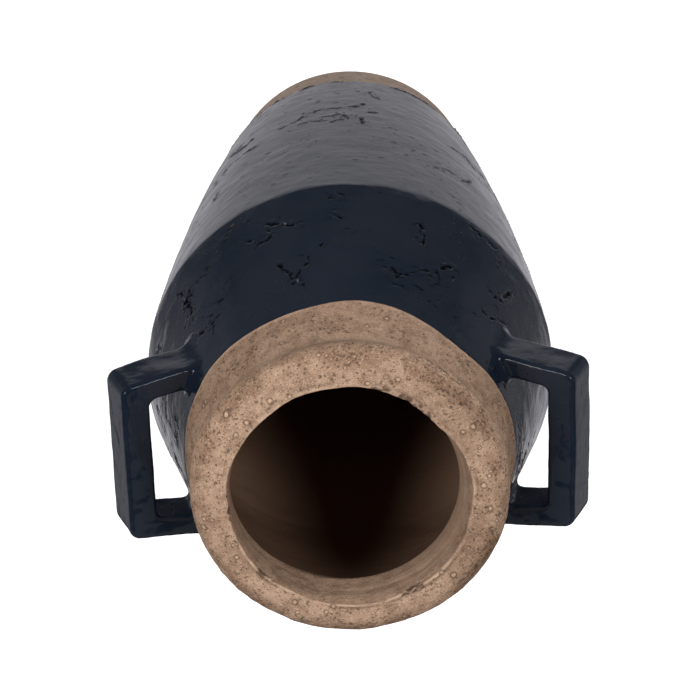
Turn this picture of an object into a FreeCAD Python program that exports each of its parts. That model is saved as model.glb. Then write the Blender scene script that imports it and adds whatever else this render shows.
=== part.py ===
import FreeCAD, Part
import math
import os
import Sketcher

# A two-handled ceramic amphora, upright on its foot. Millimetres, +Z up, origin at the centre of
# the base. It is made as a potter joins it: a base disc inside a thrown body wall, a conical
# shoulder wall on top of it, a neck collar and a rolled rim, two square strap handles luted to the
# shoulder with clay, and a skin of glaze on everything except the foot, the collar and the rim.

FACE_TOLERANCE = 1e-4

doc = FreeCAD.newDocument("Amphora")
sheet = doc.addObject("Spreadsheet::Sheet", "Sizes")

# Radii are measured from the pot's axis, heights from the surface that it stands on.
sizes = {
    "wall_thickness": 10.0,
    "glaze_thickness": 1.0,
    "base_thickness": 14.0,
    "foot_radius": 79.3,
    "foot_round": 2.5,
    "glaze_line_height": 43.5,
    "glaze_line_radius": 86.9,
    "flare_radius": 2600.0,
    "ridge_radius": 114.0,
    "ridge_height": 301.4,
    "neck_radius": 87.2,
    "neck_height": 402.0,
    "collar_edge_radius": 80.54,
    "collar_edge_height": 427.0,
    "collar_curve": 19.0,
    "groove_radius": 80.0,
    "groove_height": 433.0,
    "bore_radius": 60.0,
    "bore_height": 422.0,
    "rim_radius": 82.6,
    "rim_roll": 10.0,
    "rim_swell": 60.0,
    "rim_flat_height": 450.4,
    "lip_radius": 62.9,
    "mouth_height": 451.0,
    # The handle is drawn flat and then tilted: reach runs out from the axis along the tilted
    # plane, and the strap's width stands square to that plane, towards the mouth.
    "handle_height": 325.9,
    "handle_tilt": 22.9,
    "handle_reach": 139.6,
    "handle_root": 62.0,
    "handle_half_length": 44.8,
    "arm_spread": 0.133,
    "arm_thickness": 11.7,
    "bar_thickness": 15.4,
    "strap_width": 26.3,
    "outer_corner": 7.0,
    "inner_corner": 4.0,
    "strap_round": 2.5,
    # Clay pressed round the foot of each arm.
    "luting_width": 3.5,
    "luting_height": 4.0,
}

for row, (alias, value) in enumerate(sizes.items(), start=1):
    sheet.set("A%d" % row, alias)
    sheet.set("B%d" % row, str(value))
    sheet.setAlias("B%d" % row, alias)
doc.recompute()


def number(expression):
    """Value of an expression over the sheet, as a plain number."""
    value = sheet.evalExpression(expression)
    return float(getattr(value, "Value", value))


def origin_plane(body, role):
    """One of a body's own origin planes."""
    return next(item for item in body.Origin.OriginFeatures if item.Role == role)


def place_corner(sketch, edge, end, across, up):
    """Pin one end of an edge at (across, up), each an expression."""
    for kind, axis, expression in (("DistanceX", -2, across), ("DistanceY", -1, up)):
        value = number(expression)
        if value == 0:
            sketch.addConstraint(Sketcher.Constraint("PointOnObject", edge, end, axis))
            continue
        index = sketch.addConstraint(Sketcher.Constraint(kind, -1, 1, edge, end, value))
        sketch.setExpression("Constraints[%d]" % index, expression)


def arc_middle(start, finish, radius, side):
    """Middle of the arc from start to finish, bulging to the left (side 1) or right (-1)."""
    chord = finish - start
    sagitta = radius - math.sqrt(radius ** 2 - (chord.Length / 2) ** 2)
    normal = FreeCAD.Vector(-chord.y, chord.x, 0).normalize()
    return (start + finish) / 2 + normal * sagitta * side


def outline(body, name, role, corners, arcs=None):
    """Closed sketch through corners, pairs of expressions. arcs gives, for an edge's number,
    the expression of its radius and the side to which it bulges."""
    arcs = arcs or {}
    sketch = body.newObject("Sketcher::SketchObject", name)
    sketch.AttachmentSupport = [(origin_plane(body, role), "")]
    sketch.MapMode = "FlatFace"
    points = [FreeCAD.Vector(number(across), number(up), 0) for across, up in corners]
    ends = []
    for index, start in enumerate(points):
        finish = points[(index + 1) % len(points)]
        if index in arcs:
            radius, side = arcs[index]
            middle = arc_middle(start, finish, number(radius), side)
            edge = sketch.addGeometry(Part.Arc(start, middle, finish), False)
        else:
            edge = sketch.addGeometry(Part.LineSegment(start, finish), False)
        forward = (sketch.getPoint(edge, 1) - start).Length < FACE_TOLERANCE
        ends.append((edge, 1 if forward else 2, 2 if forward else 1))
    for index, (edge, first, last) in enumerate(ends):
        following, following_first, _ = ends[(index + 1) % len(ends)]
        sketch.addConstraint(Sketcher.Constraint("Coincident", edge, last, following, following_first))
    for (edge, first, _), (across, up) in zip(ends, corners):
        place_corner(sketch, edge, first, across, up)
    for index, (radius, _) in arcs.items():
        constraint = sketch.addConstraint(Sketcher.Constraint("Radius", ends[index][0], number(radius)))
        sketch.setExpression("Constraints[%d]" % constraint, radius)
    return sketch


def turned(name, corners, arcs=None):
    """A body turned about the pot's axis from an outline of (radius, height) corners."""
    body = doc.addObject("PartDesign::Body", name)
    sketch = outline(body, name + "_outline", "XZ_Plane", corners, arcs)
    turn = body.newObject("PartDesign::Revolution", name + "_turn")
    turn.Profile = sketch
    turn.ReferenceAxis = (sketch, ["V_Axis"])
    turn.Angle = 360
    sketch.Visibility = False
    doc.recompute()
    return body


def edge_names(shape, wanted):
    """Names of the edges for which wanted(first point, last point) holds."""
    names = []
    for index, edge in enumerate(shape.Edges, start=1):
        first = edge.Vertexes[0].Point
        last = edge.Vertexes[-1].Point
        if wanted(first, last):
            names.append("Edge%d" % index)
    return names


def rounded(body, name, base, edges, radius):
    """Fillet on the named edges of a body's last feature."""
    fillet = body.newObject("PartDesign::Fillet", name)
    fillet.Base = (base, edges)
    fillet.setExpression("Radius", radius)
    doc.recompute()
    return fillet


def boolean(kind, name, base, tool):
    """Part::Cut or Part::Common of two objects."""
    result = doc.addObject(kind, name)
    result.Base = base
    result.Tool = tool
    doc.recompute()
    return result


def mirrored(name, source):
    """The source's mirror image on the other side of the pot."""
    result = doc.addObject("Part::Mirroring", name)
    result.Source = source
    result.Normal = FreeCAD.Vector(1, 0, 0)
    result.Base = FreeCAD.Vector(0, 0, 0)
    doc.recompute()
    return result


def at_height(height):
    """Test for an edge that lies at one height."""
    def test(first, last):
        return abs(first.z - height) < FACE_TOLERANCE and abs(last.z - height) < FACE_TOLERANCE
    return test


# Radii of the clay, under the glaze.
FOOT_INSIDE = "Sizes.foot_radius - Sizes.wall_thickness"
RIDGE_CLAY = "Sizes.ridge_radius - Sizes.glaze_thickness"
RIDGE_INSIDE = "Sizes.ridge_radius - Sizes.glaze_thickness - Sizes.wall_thickness"
NECK_CLAY = "Sizes.neck_radius - Sizes.glaze_thickness"
NECK_INSIDE = "Sizes.neck_radius - Sizes.glaze_thickness - Sizes.wall_thickness"


def make_base_disc():
    """Round slab that closes the pot, flush with the foot it stands on."""
    return turned("base_disc", [
        ("0", "0"),
        (FOOT_INSIDE, "0"),
        (FOOT_INSIDE, "Sizes.base_thickness"),
        ("0", "Sizes.base_thickness"),
    ])


def make_body_wall():
    """Gently convex flaring wall from the foot to the ridge, of even thickness."""
    body = turned("body_wall", [
        ("Sizes.foot_radius", "0"),
        (RIDGE_CLAY, "Sizes.ridge_height"),
        (RIDGE_INSIDE, "Sizes.ridge_height"),
        (FOOT_INSIDE, "Sizes.base_thickness"),
        (FOOT_INSIDE, "0"),
    ], {
        0: ("Sizes.flare_radius", -1),
        2: ("Sizes.flare_radius", 1),
    })
    foot = edge_names(body.Shape, lambda first, last: at_height(0)(first, last)
                      and math.hypot(first.x, first.y) > number(FOOT_INSIDE) + FACE_TOLERANCE)
    rounded(body, "foot_round", body.Tip, foot, "Sizes.foot_round")
    return body


def make_body_glaze(wall):
    """Skin of glaze on the body wall, from the glaze line up to the ridge."""
    inside = "Sizes.wall_thickness / 2"
    ring = turned("body_glaze_ring", [
        ("Sizes.glaze_line_radius", "Sizes.glaze_line_height"),
        ("Sizes.ridge_radius", "Sizes.ridge_height"),
        ("Sizes.ridge_radius - " + inside, "Sizes.ridge_height"),
        ("Sizes.glaze_line_radius - " + inside, "Sizes.glaze_line_height"),
    ], {
        0: ("Sizes.flare_radius", -1),
    })
    return boolean("Part::Cut", "body_glaze", ring, wall)


def make_shoulder_wall():
    """Straight conical wall from the ridge in to the neck."""
    return turned("shoulder_wall", [
        (RIDGE_CLAY, "Sizes.ridge_height"),
        (NECK_CLAY, "Sizes.neck_height"),
        (NECK_INSIDE, "Sizes.neck_height"),
        (RIDGE_INSIDE, "Sizes.ridge_height"),
    ])


def make_neck_collar():
    """Unglazed collar: on with the cone, then a short hollow curve to the groove under the rim.
    Inside, it overhangs the shoulder and leaves a short round bore."""
    return turned("neck_collar", [
        ("Sizes.neck_radius", "Sizes.neck_height"),
        ("Sizes.collar_edge_radius", "Sizes.collar_edge_height"),
        ("Sizes.groove_radius", "Sizes.groove_height"),
        ("Sizes.bore_radius", "Sizes.groove_height"),
        ("Sizes.bore_radius", "Sizes.bore_height"),
        (NECK_INSIDE, "Sizes.neck_height"),
    ], {
        1: ("Sizes.collar_curve", 1),
    })


def make_rim():
    """Heavy rolled rim: swells out of the groove, turns over and runs flat to the inner lip."""
    roll_start = "Sizes.rim_flat_height - Sizes.rim_roll"
    return turned("rim", [
        ("Sizes.groove_radius", "Sizes.groove_height"),
        ("Sizes.rim_radius", roll_start),
        ("Sizes.rim_radius - Sizes.rim_roll", "Sizes.rim_flat_height"),
        ("Sizes.lip_radius", "Sizes.mouth_height"),
        ("Sizes.bore_radius", "Sizes.groove_height"),
    ], {
        0: ("Sizes.rim_swell", -1),
        1: ("Sizes.rim_roll", -1),
    })


def make_cone(name, grow):
    """Solid cone that fills the shoulder out to its clay surface plus grow."""
    cone = doc.addObject("Part::Cone", name)
    cone.setExpression("Radius1", RIDGE_CLAY + grow)
    cone.setExpression("Radius2", NECK_CLAY + grow)
    cone.setExpression("Height", "Sizes.neck_height - Sizes.ridge_height")
    cone.setExpression(".Placement.Base.z", "Sizes.ridge_height")
    doc.recompute()
    return cone


def make_strap(name, grow, corners_rounded=True):
    """Square U of flat strap, open towards the pot, with every face moved out by grow. It is
    drawn with reach along X and padded along its width, then tilted up towards the mouth."""
    tip = "Sizes.handle_reach + " + grow
    root = "Sizes.handle_root"
    inner_tip = "Sizes.handle_reach - Sizes.bar_thickness - " + grow

    def arm_side(reach, offset):
        spread = "Sizes.arm_spread * (Sizes.handle_reach - (%s))" % reach
        return "Sizes.handle_half_length + %s %s" % (spread, offset)

    outside = "+ " + grow
    inside = "- Sizes.arm_thickness - " + grow
    half = [
        (tip, arm_side(tip, outside)),
        (root, arm_side(root, outside)),
        (root, arm_side(root, inside)),
        (inner_tip, arm_side(inner_tip, inside)),
    ]
    other_half = [(across, "0 - (%s)" % along) for across, along in reversed(half)]
    body = doc.addObject("PartDesign::Body", name)
    sketch = outline(body, name + "_outline", "XY_Plane", half + other_half)
    pad = body.newObject("PartDesign::Pad", name + "_pad")
    pad.Profile = sketch
    pad.setExpression("Length", "Sizes.strap_width + 2 * " + grow)
    sketch.Visibility = False
    doc.recompute()
    if corners_rounded:
        round_strap(body, name, pad, grow, number(tip), number(inner_tip))
    tilt = FreeCAD.Rotation(FreeCAD.Vector(0, -1, 0), number("Sizes.handle_tilt"))
    body.Placement = FreeCAD.Placement(FreeCAD.Vector(0, 0, 0), tilt)
    body.setExpression(".Placement.Rotation.Angle", "Sizes.handle_tilt")
    body.setExpression(".Placement.Base.x", "%s * sin(Sizes.handle_tilt)" % grow)
    lowered = "%s * cos(Sizes.handle_tilt)" % grow
    body.setExpression(".Placement.Base.z", "Sizes.handle_height - " + lowered)
    doc.recompute()
    return body


def round_strap(body, name, pad, grow, tip, inner_tip):
    """Round a strap's corners, outside and inside the loop, and then its long edges."""
    def across(reach):
        return lambda first, last: (abs(first.x - reach) < FACE_TOLERANCE
                                    and abs(last.x - reach) < FACE_TOLERANCE
                                    and abs(first.z - last.z) > FACE_TOLERANCE)

    outer = rounded(body, name + "_outer_corners", pad, edge_names(pad.Shape, across(tip)),
                    "Sizes.outer_corner + " + grow)
    inner = rounded(body, name + "_inner_corners", outer, edge_names(outer.Shape, across(inner_tip)),
                    "Sizes.inner_corner - " + grow)
    width = number("Sizes.strap_width + 2 * " + grow)
    root = number("Sizes.handle_root")

    def long_edge(first, last):
        flat = at_height(0)(first, last) or at_height(width)(first, last)
        at_root = abs(first.x - root) < FACE_TOLERANCE and abs(last.x - root) < FACE_TOLERANCE
        return flat and not at_root

    rounded(body, name + "_edges", inner, edge_names(inner.Shape, long_edge), "Sizes.strap_round + " + grow)


def make_handles():
    """Both handles: a clay strap, its glaze, and the luting round the foot of each arm. The strap
    ends on the shoulder's clay, and its glaze ends on the luting."""
    clay_strap = make_strap("clay_strap", "(0 - Sizes.glaze_thickness)")
    glazed_strap = make_strap("glazed_strap", "0")
    luting_strap = make_strap("luting_strap", "Sizes.luting_width", corners_rounded=False)
    shoulder_core = make_cone("shoulder_core", "")
    luting_core = make_cone("luting_core", " + Sizes.luting_height")

    handle = boolean("Part::Cut", "left_handle", clay_strap, shoulder_core)
    skin = boolean("Part::Cut", "strap_skin", glazed_strap, clay_strap)
    glaze = boolean("Part::Cut", "left_handle_glaze", skin, luting_core)
    pressed = boolean("Part::Common", "pressed_clay", luting_strap, luting_core)
    pressed_outside = boolean("Part::Cut", "pressed_outside", pressed, shoulder_core)
    luting = boolean("Part::Cut", "left_luting", pressed_outside, clay_strap)
    nodes = [handle, glaze, luting]
    for left in (handle, glaze, luting):
        nodes.append(mirrored(left.Name.replace("left", "right"), left))
    return nodes, luting_strap


def make_shoulder_glaze(luting_strap):
    """Skin of glaze on the shoulder, open where the luting of the four arms meets the clay."""
    ring = turned("shoulder_glaze_ring", [
        (RIDGE_CLAY, "Sizes.ridge_height"),
        ("Sizes.ridge_radius", "Sizes.ridge_height"),
        ("Sizes.neck_radius", "Sizes.neck_height"),
        (NECK_CLAY, "Sizes.neck_height"),
    ])
    one_side = boolean("Part::Cut", "shoulder_glaze_one_side", ring, luting_strap)
    other_strap = mirrored("luting_strap_mirrored", luting_strap)
    return boolean("Part::Cut", "shoulder_glaze", one_side, other_strap)


body_wall = make_body_wall()
handle_nodes, luting_strap = make_handles()
nodes = [
    make_base_disc(),
    body_wall,
    make_body_glaze(body_wall),
    make_shoulder_wall(),
    make_shoulder_glaze(luting_strap),
    make_neck_collar(),
    make_rim(),
] + handle_nodes

doc.recompute()
for item in doc.Objects:
    if "Invalid" in item.State or "Error" in item.State:
        raise RuntimeError("%s failed: %s" % (item.Name, item.State))
for node in nodes:
    if node.Shape.isNull() or not node.Shape.isValid() or node.Shape.Volume <= 0:
        raise RuntimeError("%s has no valid shape" % node.Name)

os.makedirs("parts", exist_ok=True)
for node in nodes:
    node.Label = node.Name
    node.Shape.exportStep("parts/%s.step" % node.Label)
    box = node.Shape.BoundBox
    print("%-20s solids %d  volume %9.0f mm3  x %7.1f %7.1f  y %7.1f %7.1f  z %7.1f %7.1f" % (
        node.Label, len(node.Shape.Solids), node.Shape.Volume,
        box.XMin, box.XMax, box.YMin, box.YMax, box.ZMin, box.ZMax))
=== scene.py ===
import math

import bmesh
import bpy
import numpy as np
from mathutils import Matrix, Vector


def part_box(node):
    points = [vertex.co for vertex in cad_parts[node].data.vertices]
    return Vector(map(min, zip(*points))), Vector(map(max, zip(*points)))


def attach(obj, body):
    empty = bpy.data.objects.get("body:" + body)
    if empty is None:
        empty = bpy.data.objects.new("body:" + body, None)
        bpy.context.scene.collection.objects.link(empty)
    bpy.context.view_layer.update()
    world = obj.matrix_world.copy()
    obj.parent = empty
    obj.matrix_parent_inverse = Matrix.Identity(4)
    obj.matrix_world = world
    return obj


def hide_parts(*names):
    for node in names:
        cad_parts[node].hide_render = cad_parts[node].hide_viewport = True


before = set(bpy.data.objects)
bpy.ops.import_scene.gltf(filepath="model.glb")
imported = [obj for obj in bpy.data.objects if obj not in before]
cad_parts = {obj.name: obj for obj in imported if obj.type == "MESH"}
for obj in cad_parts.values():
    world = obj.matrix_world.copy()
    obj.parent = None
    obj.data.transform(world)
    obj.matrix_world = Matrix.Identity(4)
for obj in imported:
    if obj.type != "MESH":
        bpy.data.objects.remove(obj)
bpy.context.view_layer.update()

# The amphora's visible clay and glaze, in mesh code round the CAD frame. Every turned piece is a
# closed outline of (radius, height) points swept round the pot's axis, then worked as if by hand:
# throwing lines, pits, chips and cracks are real relief. The pieces are worked out in millimetres
# and become metres as they turn into meshes; materials and the studio are in metres.
# Angles round the pot run from +X towards +Y, and the camera stands on the -Y side.

MM = 0.001

# ---- sizes, in millimetres

LOW, HIGH = 0, 1
ACROSS, UP = 0, 2


def box_side(node, corner, axis):
    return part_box(node)[corner][axis] / MM


RIDGE_RADIUS = box_side("body_glaze", HIGH, ACROSS)
RIDGE_HEIGHT = box_side("body_glaze", HIGH, UP)
GLAZE_LINE = box_side("body_glaze", LOW, UP)
NECK_HEIGHT = box_side("neck_collar", LOW, UP)
GROOVE_HEIGHT = box_side("rim", LOW, UP)
MOUTH_HEIGHT = box_side("rim", HIGH, UP)
RIM_RADIUS = box_side("rim", HIGH, ACROSS)
BASE_DISC_RADIUS = box_side("base_disc", HIGH, ACROSS)
BASE_THICKNESS = box_side("base_disc", HIGH, UP)

WALL = 10
GLAZE = 1
GLAZE_BACK = GLAZE + 0.5
CLAY_BACK = GLAZE + 0.8
DEEPEST_PIT = 0.25 - GLAZE_BACK
FOOT_RADIUS = BASE_DISC_RADIUS + WALL
FOOT_ROUND = 2.5
GLAZE_LINE_RADIUS = 86.9
FLARE_RADIUS = 2600
NECK_RADIUS = 87.2
RIDGE_INSIDE = RIDGE_RADIUS - GLAZE - WALL
NECK_INSIDE = NECK_RADIUS - GLAZE - WALL
CONE_SLOPE = (NECK_RADIUS - RIDGE_RADIUS) / (NECK_HEIGHT - RIDGE_HEIGHT)
UP_THE_CONE = np.array([CONE_SLOPE, 1]) / math.hypot(CONE_SLOPE, 1)
RIDGE_OVERLAP = 2.4
COLLAR_EDGE = (80.54, 427)
COLLAR_CURVE = 19
GROOVE_RADIUS = 80
BORE_RADIUS = 60
BORE_HEIGHT = 422
BORE_LEAN = (3.0, 2.8)
RIM_ROLL = 10
RIM_SWELL = 60
RIM_FLAT_HEIGHT = 450.4
LIP_RADIUS = 62.9

HANDLE_HEIGHT = 325.9
HANDLE_TILT = math.radians(22.9)
HANDLE_REACH = 139.6
HANDLE_ROOT = 62
HANDLE_HALF_LENGTH = 44.8
ARM_SPREAD = 0.133
ARM_THICKNESS = 11.7
BAR_THICKNESS = 15.4
STRAP_WIDTH = 26.3


# ---- noise

def lattice_value(cell, seed):
    """A repeatable value from -1 to 1 for each whole-numbered cell, an (n, 3) array."""
    scramble = 1274126177
    mixed = cell @ np.array([374761393, 668265263, 2147483647]) + seed * scramble
    mixed = (mixed ^ (mixed >> 13)) * scramble
    mixed = mixed ^ (mixed >> 16)
    return (mixed & 0xFFFF) / 32767.5 - 1


def noise(points, size, seed):
    """Smooth noise from -1 to 1 at points, an (n, 3) array, with lumps about size across."""
    scaled = points / size
    base = np.floor(scaled).astype(np.int64)
    part = scaled - base
    part = part * part * part * (part * (part * 6 - 15) + 10)
    total = np.zeros(len(points))
    for corner in np.ndindex(2, 2, 2):
        weight = np.ones(len(points))
        for axis in range(3):
            weight = weight * (part[:, axis] if corner[axis] else 1 - part[:, axis])
        total += weight * lattice_value(base + np.array(corner), seed)
    return total


def fractal(points, size, seed, octaves=3, fade=0.5):
    """Layers of noise, each half the size and fade times the strength of the one before."""
    total = np.zeros(len(points))
    strength = 1.0
    for octave in range(octaves):
        total += strength * noise(points, size / 2 ** octave, seed + octave)
        strength *= fade
    return total


# ---- turned pieces

def line(start, finish, spacing):
    """Points from start up to, but not including, finish."""
    steps = max(1, round(math.dist(start, finish) / spacing))
    first, way = np.array(start), np.array(finish) - np.array(start)
    return [tuple(first + way * i / steps) for i in range(steps)]


def path(*stops):
    """Points along straight runs: each stop but the last is followed by its run's spacing."""
    points = []
    for start, spacing, finish in zip(stops[::2], stops[1::2], stops[2::2]):
        points += line(start, finish, spacing)
    return points


def arc(start, finish, radius, side, spacing):
    """Points on an arc from start up to, but not including, finish. side is 1 where the arc
    bulges to the left of the way from start to finish, and -1 to the right."""
    first, last = np.array(start), np.array(finish)
    chord = last - first
    half = np.linalg.norm(chord) / 2
    normal = np.array([-chord[1], chord[0]]) / (2 * half)
    centre = (first + last) / 2 - normal * side * math.sqrt(radius ** 2 - half ** 2)
    sweep = 2 * math.asin(half / radius) * -side
    steps = max(2, round(abs(sweep) * radius / spacing))
    points = []
    for i in range(steps):
        turn = sweep * i / steps
        cos, sin = math.cos(turn), math.sin(turn)
        arm = first - centre
        points.append((centre[0] + arm[0] * cos - arm[1] * sin, centre[1] + arm[0] * sin + arm[1] * cos))
    return points


def flare(start, finish, spacing, inward=False):
    """Points along the body's long convex curve, or parallel to it on the inside going down."""
    return arc(start, finish, FLARE_RADIUS, 1 if inward else -1, spacing)


class Turned:
    """A closed outline of (radius, height) points swept round the axis, with a depth of relief
    for each point: profile points run along the first index and the angle along the second."""

    def __init__(self, outline, turns):
        self.outline = np.array(outline)
        self.radius, self.height = self.outline[:, :1], self.outline[:, 1:]
        self.turns = turns
        self.outer_rows = len(outline)
        ahead = np.roll(self.outline, -1, axis=0) - self.outline
        behind = self.outline - np.roll(self.outline, 1, axis=0)
        ahead /= np.linalg.norm(ahead, axis=1)[:, None]
        behind /= np.linalg.norm(behind, axis=1)[:, None]
        along = ahead + behind
        along /= np.linalg.norm(along, axis=1)[:, None]
        # Outlines run counter-clockwise, up the outside and down the inside.
        self.normal = np.stack([along[:, 1], -along[:, 0]], axis=1)
        strides = np.linalg.norm(np.diff(self.outline, axis=0), axis=1)
        self.travelled = np.concatenate([[0], np.cumsum(strides)])
        self.angle = np.arange(turns) * 2 * math.pi / turns
        self.relief = np.zeros((len(outline), turns))
        self.climb = np.zeros((len(outline), turns))
        self.way = np.array([0.0, 1.0])
        self.slide = np.zeros((len(outline), turns, 2))
        self.marks = {}

    def points(self):
        """The undisturbed grid points, as an (n, 3) array."""
        radius, height = np.repeat(self.outline, self.turns, axis=0).T
        angle = np.tile(self.angle, len(self.outline))
        return np.stack([radius * np.cos(angle), radius * np.sin(angle), height], axis=1)

    def grid(self, values):
        return values.reshape(len(self.outline), self.turns)

    def mark(self, name):
        """The layer of that name, which the materials read at each point."""
        if name not in self.marks:
            self.marks[name] = np.zeros_like(self.relief)
        return self.marks[name]

    def add_mark(self, name, values):
        layer = self.mark(name)
        layer += values

    def near(self, row, column, reach):
        """Rows, columns and distances of the grid points within reach of one of them."""
        along = self.travelled - self.travelled[row]
        rows = np.flatnonzero(np.abs(along) <= reach)
        pitch = max(self.outline[row, 0], 1) * 2 * math.pi / self.turns
        count = int(reach / pitch) + 1
        columns = np.arange(column - count, column + count + 1)
        across = (columns - column) * pitch
        return rows, columns % self.turns, along[rows], across

    def seen(self):
        """A column with 1 on the outer wall and on the row after it, and 0 elsewhere."""
        return (np.arange(len(self.outline)) <= self.outer_rows).astype(float)[:, None]

    def spot(self, degrees, height):
        """Row and column of a place on the outer wall, by its angle round the pot and height."""
        row = int(np.argmin(np.abs(self.outline[:self.outer_rows, 1] - height)))
        return row, round(degrees / 360 * self.turns) % self.turns

    def crater(self, row, column, width, depth, long, lean, lip, mark):
        """A pit width across and depth deep, stretched long times along a slope of lean, with an
        edge raised by lip, that the materials find in the mark's layer."""
        rows, columns, up, across = self.near(row, column, width * max(long, 1) * 1.8)
        up, across = np.meshgrid(up, across, indexing="ij")
        cos, sin = math.cos(lean), math.sin(lean)
        major = (across * cos + up * sin) / long
        minor = -across * sin + up * cos
        away = np.sqrt(major ** 2 + minor ** 2) / (width / 2)
        bowl = np.clip(1 - away ** 2, 0, None) ** 1.5
        ring = np.exp(-((away - 1.15) / 0.28) ** 2)
        window = np.ix_(rows, columns)
        self.relief[window] += lip * ring - depth * bowl
        layer = self.mark(mark)
        layer[window] = np.maximum(layer[window], np.clip(1.5 * bowl, 0, 1))
        if mark == "ring":
            edge = self.mark("pit")
            edge[window] = np.maximum(edge[window], 0.9 * ring)

    def mesh(self, name, closed=True):
        """The finished ring as a mesh object. closed=False leaves out the last stretch, for an
        outline that starts and ends on the axis."""
        radius = self.radius + self.normal[:, :1] * self.relief + self.way[0] * self.climb
        height = self.height + self.normal[:, 1:] * self.relief + self.way[1] * self.climb
        spots = np.stack([radius * np.cos(self.angle) + self.slide[..., 0],
                          radius * np.sin(self.angle) + self.slide[..., 1], height], axis=2)
        here = self.grid(np.arange(len(self.outline) * self.turns))
        up = np.roll(here, -1, axis=0)
        faces = np.stack([here, np.roll(here, -1, axis=1), np.roll(up, -1, axis=1), up], axis=2)
        if not closed:
            faces = faces[:-1]
        marks = {key: layer.reshape(-1) for key, layer in self.marks.items()}
        return make_object(name, spots.reshape(-1, 3), faces.reshape(-1, 4), marks, weld=not closed)


def make_object(name, vertices, faces, marks=None, weld=False):
    """A smooth-shaded mesh object from vertices in millimetres. marks holds a number for each vertex,
    by attribute name, and weld joins the points that coincide on the axis."""
    mesh = bpy.data.meshes.new(name)
    vertices = np.asarray(vertices * MM, dtype=np.float32)
    faces = np.asarray(faces, dtype=np.int32)
    mesh.vertices.add(len(vertices))
    mesh.vertices.foreach_set("co", vertices.reshape(-1))
    mesh.loops.add(faces.size)
    mesh.loops.foreach_set("vertex_index", faces.reshape(-1))
    mesh.polygons.add(len(faces))
    mesh.polygons.foreach_set("loop_start", np.arange(len(faces), dtype=np.int32) * faces.shape[1])
    mesh.update(calc_edges=True)
    mesh.validate()
    mesh.polygons.foreach_set("use_smooth", np.ones(len(mesh.polygons), dtype=bool))
    for key, values in (marks or {}).items():
        layer = mesh.attributes.new(key, "FLOAT", "POINT")
        layer.data.foreach_set("value", np.asarray(values, dtype=np.float32))
    if weld:
        form = bmesh.new()
        form.from_mesh(mesh)
        bmesh.ops.remove_doubles(form, verts=form.verts, dist=0.001 * MM)
        form.to_mesh(mesh)
        form.free()
    mesh.set_sharp_from_angle(angle=math.radians(55))
    mesh.update()
    return add_to_scene(name, mesh)


def add_to_scene(name, data):
    item = bpy.data.objects.new(name, data)
    bpy.context.scene.collection.objects.link(item)
    return item


def finish_piece(piece, material, slot, *nodes):
    """Give a piece its material and tie it to the frame."""
    piece.data.materials.append(material)
    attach(piece, "root")
    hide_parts(*nodes)


# ---- materials

class Graph:
    """Builds a material's nodes; a socket's input is a number, a colour or another node's output."""

    def __init__(self, name):
        self.material = bpy.data.materials.new(name)
        self.material.use_nodes = True
        self.tree = self.material.node_tree
        self.tree.nodes.clear()
        self.place = self.add("ShaderNodeTexCoord").outputs["Object"]

    def add(self, kind, settings=None, **inputs):
        node = self.tree.nodes.new(kind)
        for key, value in (settings or {}).items():
            setattr(node, key, value)
        for key, value in inputs.items():
            self.feed(node, key.replace("_", " "), value)
        return node

    def feed(self, node, key, value):
        socket = node.inputs[int(key)] if key.isdigit() else node.inputs[key]
        if isinstance(value, bpy.types.NodeSocket):
            self.tree.links.new(value, socket)
        else:
            socket.default_value = value

    def math(self, operation, first, second=0.0):
        node = self.add("ShaderNodeMath", {"operation": operation})
        self.feed(node, "0", first)
        self.feed(node, "1", second)
        return node.outputs[0]

    def stretched(self, along, around):
        """Object position with its height multiplied by along and its other sides by around."""
        node = self.add("ShaderNodeMapping", Vector=self.place)
        node.inputs["Scale"].default_value = (around, around, along)
        return node.outputs["Vector"]

    def times(self, first, second):
        return self.math("MULTIPLY", first, second)

    def plus(self, first, second):
        return self.math("ADD", first, second)

    def minus(self, first, second):
        return self.math("SUBTRACT", first, second)

    def noise(self, scale, detail=4.0, roughness=0.55, place=None):
        node = self.add("ShaderNodeTexNoise", Vector=place or self.place, Scale=scale, Detail=detail,
                        Roughness=roughness)
        return node.outputs["Fac"]

    def dots(self, scale, low, high, patches=1.0, place=None):
        """Scattered round dots, full out to low of their cell and gone at high, kept to patches."""
        cells = self.add("ShaderNodeTexVoronoi", Vector=place or self.place, Scale=scale)
        return self.times(self.ramp(cells.outputs["Distance"], low, high, 1.0, 0.0), patches)

    def ramp(self, value, low, high, out_low=0.0, out_high=1.0):
        """value from low to high, brought smoothly to out_low to out_high and held there."""
        node = self.add("ShaderNodeMapRange", {"interpolation_type": "SMOOTHSTEP", "clamp": True})
        self.feed(node, "Value", value)
        for key, number in (("From Min", low), ("From Max", high), ("To Min", out_low), ("To Max", out_high)):
            node.inputs[key].default_value = number
        return node.outputs["Result"]

    def mix(self, amount, first, second, blend="MIX"):
        node = self.add("ShaderNodeMix", {"data_type": "RGBA", "blend_type": blend})
        self.feed(node, "0", amount)
        self.feed(node, "6", first)
        self.feed(node, "7", second)
        return node.outputs[2]

    def mark(self, name):
        return self.add("ShaderNodeAttribute", {"attribute_name": name}).outputs["Fac"]

    def bump(self, height, distance):
        node = self.add("ShaderNodeBump", Height=height, Distance=distance, Strength=1.0)
        return node.outputs["Normal"]

    def finish(self, **inputs):
        shader = self.add("ShaderNodeBsdfPrincipled")
        for key, value in inputs.items():
            self.feed(shader, key.replace("_", " "), value)
        output = self.add("ShaderNodeOutputMaterial")
        self.tree.links.new(shader.outputs[0], output.inputs["Surface"])
        return self.material


def colour(red, green, blue):
    return (red, green, blue, 1.0)


def tone(base, red, green, blue):
    """A colour with its parts multiplied."""
    return colour(base[0] * red, base[1] * green, base[2] * blue)


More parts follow.
